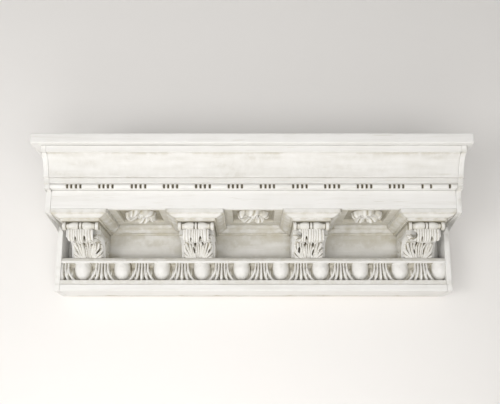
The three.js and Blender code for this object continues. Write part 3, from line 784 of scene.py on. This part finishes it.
def egg_and_leaf():
    """The band's section with its carved stretch in fine steps, where the surface is whichever
    stands out further: the plain section or egg_field."""
    back = BACK_THICK + JOINT
    corners = [
        (back, BASE_TOP + JOINT),
        (LOWER_OUT, BASE_TOP + JOINT),
        (LOWER_OUT, LOWER_BAND),
        (64, LOWER_BAND + 2.5),
        (64, LEDGE_LOW - 1.6),
        (LOWER_OUT, LEDGE_LOW),
        (LOWER_OUT, LEDGE_LOW + 5.5),
        (LOWER_OUT - 2, LEDGE_LOW + 10.5),
        (LOWER_OUT - 6, LEDGE_TOP),
        (back, LEDGE_TOP),
    ]
    ring, edge, nook = outline(corners, 0.9, [20, 5, 4, 1.12, 4, 3, 3, 3, 20, 25])
    x = np.linspace(-INNER, INNER, 810)
    grid = loft(ring, x, along)
    carved = (ring[:, 1] > LOWER_BAND + 0.4) & (ring[:, 1] < LEDGE_LOW - 0.2) & (ring[:, 0] < LOWER_OUT - 1)
    field, dark = egg_field(grid[..., 0], grid[..., 2])
    hand = 0.5 * noise(grid, 7, 72)
    field = np.minimum(field + hand, LOWER_OUT - 0.5)
    out = grid[..., 1]
    grid[..., 1] = np.where(carved[None] & (field > out), field, out)
    plain = aged(grid, edge[None], 73, [(-250, LOWER_OUT, LEDGE_LOW, 2.5, 1.5)], 0.3, 0.8)
    grid = np.where(carved[None, :, None], grid, plain)
    # Painted shade on the carving, from egg_field, and in the inner corners of the plain section.
    dirt_and_shade = np.where(carved[None], dark, 0.45 * nook[None])
    top = (ring[:, 1] > LEDGE_TOP - 1) * (ring[:, 0] < LOWER_OUT - 5)
    ledge = (ring[:, 1] > LEDGE_LOW + 5) * (ring[:, 0] > LOWER_OUT - 7)
    band = (ring[:, 1] < LOWER_BAND + 1) * (ring[:, 0] > LOWER_OUT - 1)
    # A little darker on the top, painted shade on the ledge's upper face, and a darker lower band.
    film = 0.1 * top + 0.30 * ledge + 0.26 * band
    dirt_and_shade = dirt_and_shade * (0.85 + 0.3 * noise(grid, 9, 74)) + film[None]
    piece("egg_and_leaf", [shell(grid, dirt_and_shade)], "egg_and_leaf_moulding", CARVED_PAINT)


# Modillions

# The leaf's line up the front of a modillion, as [out, height]
BELLY = [
    (82, 100.8), (83, 112), (86, 124), (93, 135), (106, 142), (125, 144),
    (146, 142), (162, 138), (171, 136.5), (176, 141), (178, 150), (177, 161),
]
FRONT_HALF, CORNER_RADIUS, SIDE_REACH, LEAF_THICK = 39, 8, 9, 6
ROLL_OUT, ROLL_HIGH = 178, 171.8


def bezier_ridge(c, s, finger):
    """A finger of the leaf: a ridge along the curve (1 - t)^2 p0 + 2 t (1 - t) p1 + t^2 p2. At distance
    d from it the ridge stands h sqrt(1 - (d / w)^2), with w widest past the middle and pointed at the
    tip, and a shallow vein down its back."""
    p0, p1, p2, width, height = finger
    t = np.linspace(0, 1, 15)
    curve = [(1 - t) ** 2 * p0[k] + 2 * t * (1 - t) * p1[k] + t ** 2 * p2[k] for k in (0, 1)]
    near_c = (c > curve[0].min() - width) & (c < curve[0].max() + width)
    near_s = (s > curve[1].min() - width) & (s < curve[1].max() + width)
    near = near_c & near_s
    result = np.zeros_like(c)
    if not near.any():
        return result
    here_c, here_s = c[near], s[near]
    nearest = np.full(here_c.shape, 1e9)
    where = np.zeros(here_c.shape)
    for k in range(len(t) - 1):
        ax, ay = curve[0][k], curve[1][k]
        bx, by = curve[0][k + 1] - ax, curve[1][k + 1] - ay
        along_it = np.clip(((here_c - ax) * bx + (here_s - ay) * by) / (bx * bx + by * by), 0, 1)
        distance = np.hypot(here_c - ax - along_it * bx, here_s - ay - along_it * by)
        closer = distance < nearest
        nearest = np.where(closer, distance, nearest)
        where = np.where(closer, (k + along_it) / (len(t) - 1), where)
    half = width * (0.45 + 0.55 * np.sin(np.pi * np.clip(where * 0.85 + 0.08, 0, 1)))
    across = nearest / half
    crown = height * (0.55 + 0.45 * np.sin(np.pi * np.clip(where * 0.8, 0, 1)))
    vein = 0.22 * crown * hump(across, 0.25) * step(0.05, 0.3, where)
    result[near] = crown * dome(across) - vein * (across < 1)
    return result


def leaf_fingers(rng):
    """The fingers of one leaf, as places [across, up along the belly] in millimetres. The same set
    goes on both sides, with the unevenness of hand carving."""
    one_side = [
        ((12, -4), (17, 24), (20, 50), 3.8, 6.0),
        ((15, -4), (25, 20), (29, 58), 4.2, 7.5),
        ((18, -4), (33, 16), (38, 50), 4.2, 8.0),
        ((20, -4), (40, 10), (46, 38), 4.2, 8.0),
        ((22, -5), (46, 2), (53, 24), 4.2, 7.5),
        ((30, -7), (48, -5), (58, 10), 4.0, 6.5),
        ((11, 44), (17, 56), (27, 72), 4.5, 7.0),
        ((24, 56), (33, 76), (42, 100), 5.0, 6.5),
        ((46, 44), (56, 50), (60, 62), 4.2, 5.5),
        ((44, 66), (52, 76), (60, 84), 4.6, 6.0),
        ((40, 84), (48, 94), (58, 102), 4.6, 6.0),
        ((4, -4), (6, 20), (9, 56), 2.6, 5.5),
        ((8, -4), (11, 18), (15, 44), 2.6, 5.5),
        ((8, 52), (10, 78), (12, 104), 6.5, 5.0),
        ((20, 66), (24, 84), (26, 104), 6.0, 5.0),
    ]
    fingers = [((0, -4), (0, 30), (0, 58), 2.6, 6.0), ((0, 54), (0, 80), (0, 106), 6.5, 5.5)]
    for side in (-1, 1):
        for p0, p1, p2, width, height in one_side:
            moved = [np.array((0.88 * side * p[0], p[1])) + rng.uniform(-1.6, 1.6, 2) for p in (p0, p1, p2)]
            grow = rng.uniform(0.9, 1.1, 2)
            fingers.append((*moved, width * grow[0], 1.25 * height * grow[1]))
    return fingers


def leaf_shell(rng, eyes, cuts):
    """The leaf as a bent sheet. Across, a coordinate runs over the front, round a corner of radius r
    and back along the side. Up, another follows the belly, and near the tip the sheet is drawn in to
    0.82 of its width. The fingers stand on it along its normal, eyes and cuts are drilled in, and the
    turned-over tip is fluted by |sin| of the place across, over a keel exp(-(c / 16)^2)."""
    rows, columns, back_columns = 150, 156, 30
    line, length = curve_through(BELLY, rows)
    s = np.linspace(0, length, rows)
    normal = to_the_right(line)
    quarter = CORNER_RADIUS * np.pi / 2
    flat = FRONT_HALF - CORNER_RADIUS
    limit = flat + quarter + SIDE_REACH
    c = np.linspace(-limit, limit, columns)
    bend = np.clip((np.abs(c) - flat) / quarter, 0, 1) * np.pi / 2
    beyond = np.clip(np.abs(c) - flat - quarter, 0, None)
    tip = step(92, 104, s)[:, None]
    x = (1 - 0.18 * tip) * np.sign(c) * (np.minimum(np.abs(c), flat) + CORNER_RADIUS * np.sin(bend))
    drop = (1 - 0.7 * tip) * (CORNER_RADIUS * (1 - np.cos(bend)) + beyond)
    grid_c, grid_s = np.meshgrid(c, s)
    height = np.full(grid_c.shape, -4.0)
    for finger in leaf_fingers(rng):
        height = np.maximum(height, bezier_ridge(grid_c, grid_s, finger) - 1.0)
    wander = 2.2 * flat_noise(grid_c, 0.25 * grid_s, 12, int(rng.integers(999)))
    flute = np.abs(np.sin(np.pi * (grid_c + wander) / 8.4))
    lobe = step(99, 108, grid_s) * step(42, 38, np.abs(grid_c) + 2 * (1 - flute))
    height = np.maximum(height, lobe * (4.2 + 3.4 * np.sqrt(flute)))
    keel = hump(grid_c, 16) * step(72, 92, grid_s) * step(126, 110, grid_s)
    height = height + 3.5 * keel
    height = height + 0.5 * flat_noise(grid_c, grid_s, 6, int(rng.integers(999)))
    hole = np.zeros_like(height)
    for eye_c, eye_s, radius in eyes:
        distance = np.hypot(x - eye_c, (grid_s - eye_s) * 0.3) / (1.3 * radius)
        hole = np.maximum(hole, step(1.3, 0.8, distance))
    for cut in cuts:
        hole = np.maximum(hole, step(0.05, 0.7, bezier_ridge(x, grid_s, cut)))
    relief = height * (1 - hole) - 5.0 * hole
    sheet = line[:, None] - normal[:, None] * drop[..., None]
    face_out = sheet[..., 0] + normal[:, None, 0] * np.cos(bend) * relief
    face_high = sheet[..., 1] + normal[:, None, 1] * np.cos(bend) * relief
    face_x = x + np.sign(c) * np.sin(bend) * relief
    front = stacked(face_x, face_out, np.maximum(face_high, LEDGE_TOP + JOINT))
    back_x = (1 - 0.18 * tip) * np.linspace(FRONT_HALF - 8, -FRONT_HALF + 8, back_columns)
    inner = line - normal * (LEAF_THICK + 2)
    back = stacked(back_x, inner[:, :1], np.maximum(inner[:, 1:], LEDGE_TOP + 0.5))
    grid = np.concatenate([front, back], axis=1)
    # dark is painted shade: in the hollows between fingers, on the low parts of the sheet below the tip, in
    # the grooves between the tip's flutes and beside the tip, and near black in the eyes and cuts.
    dark = 0.16 + 0.95 * cavity(relief, 3, 1.8) + 0.45 * step(1.5, -2.5, relief) * step(104, 96, grid_s)
    dark = np.maximum(dark, 0.76 * lobe * step(0.34, 0.08, flute))
    dark = np.maximum(dark, 0.5 * (1 - lobe) * step(98, 108, grid_s))
    dark = np.maximum(np.minimum(dark, 0.80), 1.2 * hole)
    dark = np.concatenate([dark, np.zeros(back.shape[:2])], axis=1)
    return shell(grid, dark)


def side_relief(out, height):
    """How far the carving stands on the block's side: a scroll whose ridge winds in as the logarithm
    of its radius, an eye at its middle, and a band from its top to the block's head."""
    middle_out, middle_high, size = 54, 141, 25
    rho = np.hypot(out - middle_out, height - middle_high)
    theta = np.arctan2(height - middle_high, out - middle_out)
    turns = np.log(np.maximum(rho, 0.5) / size) / math.log(0.52) - theta / (2 * np.pi)
    ridge = np.abs(np.sin(np.pi * turns)) ** 0.7
    scroll = np.where(rho < size, 0.8 + 3.4 * ridge, 0)
    scroll = np.where(rho < 5, 3.6 * dome(rho / 5.2) + 0.6, scroll)
    band = bezier_ridge(out, height, ((60, 164), (112, 142), (170, 170), 9.0, 4.6))
    lower = bezier_ridge(out, height, ((70, 122), (60, 112), (40, 112), 7.0, 3.6))
    return np.maximum.reduce([scroll, band, lower])


def block_shell(unshaded_side):
    """The block behind the leaf, whose underside lies LEAF_THICK behind the belly, with painted shade on
    its sides but the one that the argument names (-1 left, 1 right). For each place out from the wall a
    ring goes up its left side and down its right side, from the belly to the head, with side_relief
    standing on both."""
    line, _ = curve_through(BELLY, 200)
    line = line - LEAF_THICK * to_the_right(line)
    forward = np.maximum.accumulate(line[:, 0])
    back, front = BACK_THICK + JOINT, 150.0
    out = np.linspace(back, front, 116)
    floor = np.maximum(np.interp(out, forward, line[:, 1]), LEDGE_TOP + JOINT)
    floor = np.where(out < forward[0], LEDGE_TOP + JOINT, floor)
    t = np.linspace(0, 1, 54)
    high = floor[:, None] + (184.5 - floor[:, None]) * t[None]
    deep = np.broadcast_to(out[:, None], high.shape)
    relief = side_relief(deep, high)
    rim = step(0, 3, high - floor[:, None]) * step(front, front - 6, deep)
    half = 49.6 + 0.4 * np.minimum(relief, 4.4) * rim
    left = stacked(-half, deep, high)
    right = stacked(half, deep, high)[:, ::-1]
    # Painted shade on the sides: heavier in the scroll's hollows and at the top under the head, less on the
    # raised carving and near the belly.
    dark = 0.42 + 0.25 * cavity(relief, 4, 1.2) - 0.25 * np.clip(relief / 4, 0, 1)
    dark = dark * (0.25 + 0.75 * step(0, 5, high - floor[:, None])) + 0.3 * step(176, 184, high)
    sides = [dark * (0 if side == unshaded_side else 1) for side in (-1, 1)]
    return shell(np.concatenate([left, right], 1), np.concatenate([sides[0], sides[1][:, ::-1]], 1))


def bolster_shell(rng):
    """The little baluster across the head, turned about a level axis: radii at places across, joined
    by straight and swelling stretches."""
    places = [0, 2.6, 2.9, 3.6, 5.4, 6.1, 6.4, 8, 14, 20, 27, 33, 36, 40.5, 41.5, 43, 47, 50, 51]
    radii = [11.2, 11.2, 10.6, 7.0, 7.0, 10.6, 11, 11.5, 12.2, 12.0]
    radii += [10.2, 8.0, 7.6, 7.8, 10.8, 12, 12, 11.6, 10.4]
    x = np.linspace(-51, 51, 150)
    radius = np.interp(np.abs(x), places, radii) * (1 + 0.015 * np.sin(x / 9 + rng.uniform(0, 6)))
    angle = np.linspace(0, 2 * np.pi, 41)[:-1]
    out = ROLL_OUT + radius[:, None] * np.cos(angle)[None]
    high = ROLL_HIGH + radius[:, None] * np.sin(angle)[None]
    grid = stacked(x[:, None], out, high)
    grid = grid + normals(grid) * 0.3 * noise(grid, 6, int(rng.integers(999)))[..., None]
    # Painted shade: near black in the collars, darker on the lower half and along the top under the cap.
    groove = cavity(radius[:, None] + 0 * angle, 4, 1.6)
    under = 0.35 * step(0.0, -1.0, np.sin(angle))[None] + 0.6 * step(0.7, 1.0, np.sin(angle))[None]
    return shell(grid, 0.2 + 1.2 * groove + 0.5 * under)


def head_shell():
    """The plain head of the block, inside the moulding round it."""
    section = box_section(BACK_THICK + JOINT, MODILLION_OUT, CAP_LOW - 1, CORONA_LOW - JOINT)
    ring, _, _ = outline(section, 0.5, 12)
    half = MODILLION_HALF - JOINT
    grid = loft(ring, stations(-half, half, 12, 0.3), along, 0.3)
    # Painted shade on the underside.
    under = (grid[..., 2] < CAP_LOW) * 0.75
    return shell(grid, under)


# Drilled eyes [across, up, radius] and long cuts of each leaf, as the carver left them
EYES = [
    [(-14, 115, 2.4), (11.6, 116, 2.6), (-8.8, 48, 2.3), (13, 46, 1.6)],
    [(-14, 115, 1.8), (12.5, 115, 2.7), (-8.5, 48, 2.5), (14.7, 51, 2.3)],
    [(-13.3, 115, 2.6), (-10.6, 48, 2.6), (12.5, 46, 2.6), (-27.5, 26, 2.2)],
    [(-13, 118, 1.9), (14.4, 116, 2.2), (-9.7, 50, 2.6), (12.9, 52, 2.6)],
]
CUTS = [
    [((-9, 32), (-8, 42), (-8, 52), 2.0, 3.0), ((24, 14), (30, 20), (36, 30), 2.4, 3.0)],
    [((-10.6, 16), (-12, 26), (-14, 36), 2.4, 3.0), ((30, 18), (34, 26), (37, 34), 2.2, 3.0)],
    [
        ((-33, 139), (-27, 133), (-31, 121), 3.6, 3.0),
        ((31, 24), (36, 31), (42, 38), 2.4, 3.0),
        ((11.5, 10), (13, 18), (16, 27), 2.4, 3.0),
    ],
    [
        ((-34, 140), (-25, 133), (-33, 120), 3.6, 3.0),
        ((13.6, 12), (15, 26), (19.7, 46), 2.0, 3.0),
        ((-11.3, 15), (-12, 20), (-14.2, 28), 2.6, 3.0),
    ],
]


def modillions():
    """Four blocks, each a leaf, the block behind it, the roll at its head and the head itself."""
    for i, x in enumerate(block_places()):
        rng = np.random.default_rng(90 + i)
        # No painted shade on the outer side of the first and the last block.
        unshaded_side = {0: -1, MODILLIONS - 1: 1}.get(i, 0)
        shells = [leaf_shell(rng, EYES[i], CUTS[i]), block_shell(unshaded_side), bolster_shell(rng), head_shell()]
        shells = [(points + (x, 0, 0), faces, dirt_and_shade) for points, faces, dirt_and_shade in shells]
        piece(f"modillion_leaf_{i + 1}", shells, f"modillion_{i + 1}", CARVED_PAINT)


# Rosettes

def across_petal(angle, middle, size, petals):
    """Where an angle lies on a petal, from -1 to 1 between its sides, and how far out it ends there:
    size (1 - 0.16 |across|^2.2)."""
    off = (angle - middle + np.pi) % (2 * np.pi) - np.pi
    across = off / (np.pi / petals * 1.06)
    return across, size * (1 - 0.16 * np.abs(across) ** 2.2)


def rosette_shell(rng, petals, turn, twist):
    """A rose seen from below, over radius and angle, its petals swept round by twist at the rim. Petal:
    rises as a smooth step from the button, rolls over into a lip near its end and stops at a round
    edge, with a cleft down its middle. Button: half a ball with a dimple, in a ring."""
    angle = np.linspace(0, 2 * np.pi, 241)[:-1]
    radius = np.linspace(0.012, 1, 84)
    a, r = np.meshgrid(angle, radius)
    bent = a + twist * (r - 1)
    lengths = rng.uniform(0.92, 1.04, petals)
    turns = turn + (np.arange(petals) + rng.uniform(-0.12, 0.12, petals)) * 2 * np.pi / petals
    drop = np.full(a.shape, 2.0)
    shade = np.full(a.shape, 0.8)
    for size, middle in zip(lengths, turns):
        across, end = across_petal(bent, middle, size, petals)
        lip = hump(r - 0.80 * end, 0.13)
        face = 6 + 7 * step(0.25, 0.7, r) + 7.5 * lip
        side = np.sqrt(np.clip(1 - np.abs(across) ** 2.6, 0, 1))
        cleft = 3.2 * hump(across, 0.16) * step(0.35, 0.6, r)
        flute = 1.3 * hump(np.abs(across) - 0.52, 0.13) * step(0.35, 0.6, r)
        petal = (face * side - cleft - flute) * step(end, end - 0.07, r)
        shade = np.where(petal > drop, 0.85 * (1 - side ** 2) + 0.24 * cleft + 0.2 * flute, shade)
        drop = np.maximum(drop, petal)
    ring = 12.5 * dome((r - 0.27) / 0.075)
    button = 15.5 * dome(r / 0.20) - 3 * hump(r, 0.06)
    well = (r < 0.36) & (np.maximum(ring, button) < 3)
    drop = np.where(r < 0.35, np.maximum(np.maximum(ring, button), np.where(well, 4, drop)), drop)
    shade = np.where(well, 0.95, shade)
    ends = [across_petal(a, middle, size, petals)[1] for size, middle in zip(lengths, turns)]
    reach = ROSETTE_RADIUS * 0.98 * np.max(ends, axis=0)
    place = np.minimum(r * ROSETTE_RADIUS, reach)
    x, y = place * np.cos(a), place * np.sin(a)
    drop = drop + 0.4 * flat_noise(x, y, 5, 7)
    low = stacked(x, y, -np.clip(drop, 0.5, 20.5))
    rim, top = (low[-1:] * (scale, scale, 0) for scale in (0.985, 0.02))
    grid = np.concatenate([low, rim, top], 0)
    shade = np.concatenate([shade, shade[-1:], shade[-1:]], 0)
    return shell(grid, shade)


def rosettes():
    """Three roses of five petals, each turned and swept a little differently."""
    turns, twists = (0.5, 0.2, 0.31), (1.3, 0.9, 0.0)
    for i, x in enumerate(rosette_places()):
        rng = np.random.default_rng(120 + i)
        points, faces, dirt_and_shade = rosette_shell(rng, 5, turns[i], twists[i])
        rose = (points + (x, ROSETTE_OUT, ROSETTE_TOP), faces, dirt_and_shade)
        piece(f"rose_{i + 1}", [rose], f"rosette_{i + 1}", CARVED_PAINT)


# Wall, light and camera

def plain_material(name, color):
    """A matt surface of one colour."""
    material = bpy.data.materials.new(name)
    material.use_nodes = True
    shader = material.node_tree.nodes["Principled BSDF"]
    shader.inputs["Base Color"].default_value = (*color, 1)
    shader.inputs["Roughness"].default_value = 0.9
    shader.inputs["Specular IOR Level"].default_value = 0.15
    return material


def wall_material():
    """Smooth plaster in front, and clear from behind, so that the back can be looked at."""
    material = plain_material("plaster", (0.80, 0.785, 0.765))
    w = Wiring(material.node_tree)
    behind = w.add("ShaderNodeNewGeometry").outputs["Backfacing"]
    clear = w.add("ShaderNodeBsdfTransparent").outputs[0]
    plaster = material.node_tree.nodes["Principled BSDF"].outputs[0]
    both = w.add("ShaderNodeMixShader", {0: behind, 1: plaster, 2: clear})
    output = material.node_tree.nodes["Material Output"]
    material.node_tree.links.new(both.outputs[0], output.inputs["Surface"])
    return material


def stage_mesh(name, points, faces, material):
    """A plain surface round the work, which isn't part of it."""
    mesh = bpy.data.meshes.new(name)
    mesh.from_pydata(points, [], faces)
    mesh.materials.append(material)
    linked(name, mesh)


def wall_and_floor():
    """A wall just behind the back, open where the body and the top board cover it, and a floor far
    below. The wall is a net of cells between the lines xs and zs, without the covered ones."""
    gap, far, floor, margin = 0.001, 9.0, -1.45, 0.004
    body = BODY_WIDTH / 2000 - margin
    shelf = SHELF_HALF / 1000 - margin
    shift = SHELF_SHIFT / 1000
    xs = [-far, shift - shelf, -body, body, shift + shelf, far]
    edges = ((0, margin), (SHELF_LOW, margin), (SHELF_TOP, -margin))
    zs = [floor, *((height - MOUNT_HEIGHT) / 1000 + inwards for height, inwards in edges), far]
    points = [(x, gap, z) for z in zs for x in xs]
    covered = {(2, 1), (1, 2), (2, 2), (3, 2)}
    cells = [(i, j) for j in range(4) for i in range(5) if (i, j) not in covered]
    faces = [(k, k + 1, k + 7, k + 6) for k in (6 * j + i for i, j in cells)]
    stage_mesh("wall", points, faces, wall_material())
    floor_points = [(-far, -far, floor), (far, -far, floor), (far, far, floor), (-far, far, floor)]
    stage_mesh("floor", floor_points, [(0, 1, 2, 3)], plain_material("pale_floor", (0.74, 0.73, 0.71)))


def area_light(name, place, target, size, power, color):
    """A round soft light of a given size across, aimed at target."""
    light = bpy.data.lights.new(name, "AREA")
    light.shape = "DISK"
    light.size = size
    light.energy = power
    light.color = color
    thing = linked(name, light)
    thing.location = place
    way = Vector(target) - Vector(place)
    thing.rotation_euler = way.to_track_quat("-Z", "Y").to_euler()


def lights():
    """Soft daylight from the left, low in front, with a pale surround."""
    area_light("window", (-2.1, -2.7, -1.1), (0.0, 0.0, -0.05), 1.9, 56, (1.0, 0.99, 0.985))
    area_light("low_fill", (0.35, -2.3, -1.25), (0.0, 0, 0), 2.0, 29, (1.0, 0.99, 0.98))
    area_light("floor_glow", (-0.2, -0.9, -1.40), (-0.1, -0.15, 0), 1.5, 13, (1.0, 0.99, 0.985))
    area_light("behind", (0.8, 3.0, 1.2), (0, 0, 0), 2.4, 75, (1.0, 0.99, 0.98))
    world = bpy.data.worlds.new("surround")
    world.use_nodes = True
    background = world.node_tree.nodes["Background"]
    background.inputs["Color"].default_value = (0.97, 0.96, 0.95, 1)
    background.inputs["Strength"].default_value = 0.50
    bpy.context.scene.world = world
    bpy.context.scene.view_settings.view_transform = "Standard"
    bpy.context.scene.view_settings.look = "None"


def camera():
    """The photograph's view: from below and a little left of the middle, looking up."""
    focal_pixels, frame_pixels, sensor = 620, 500, 36
    lens = bpy.data.cameras.new("view")
    lens.sensor_width = sensor
    lens.lens = focal_pixels * sensor / frame_pixels
    lens.shift_y = 0.15
    thing = linked("view", lens)
    thing.location = (-0.010, -1.873, -0.311 - MOUNT_HEIGHT / 1000)
    thing.rotation_euler = (math.radians(90 + 11.221), 0, 0)
    bpy.context.scene.camera = thing


camera()
shelf_board()
crown_moulding()
bead_and_reel()
plain_boards()
soffit()
end_boards()
cap_mouldings()
egg_and_leaf()
modillions()
rosettes()
wall_and_floor()
lights()
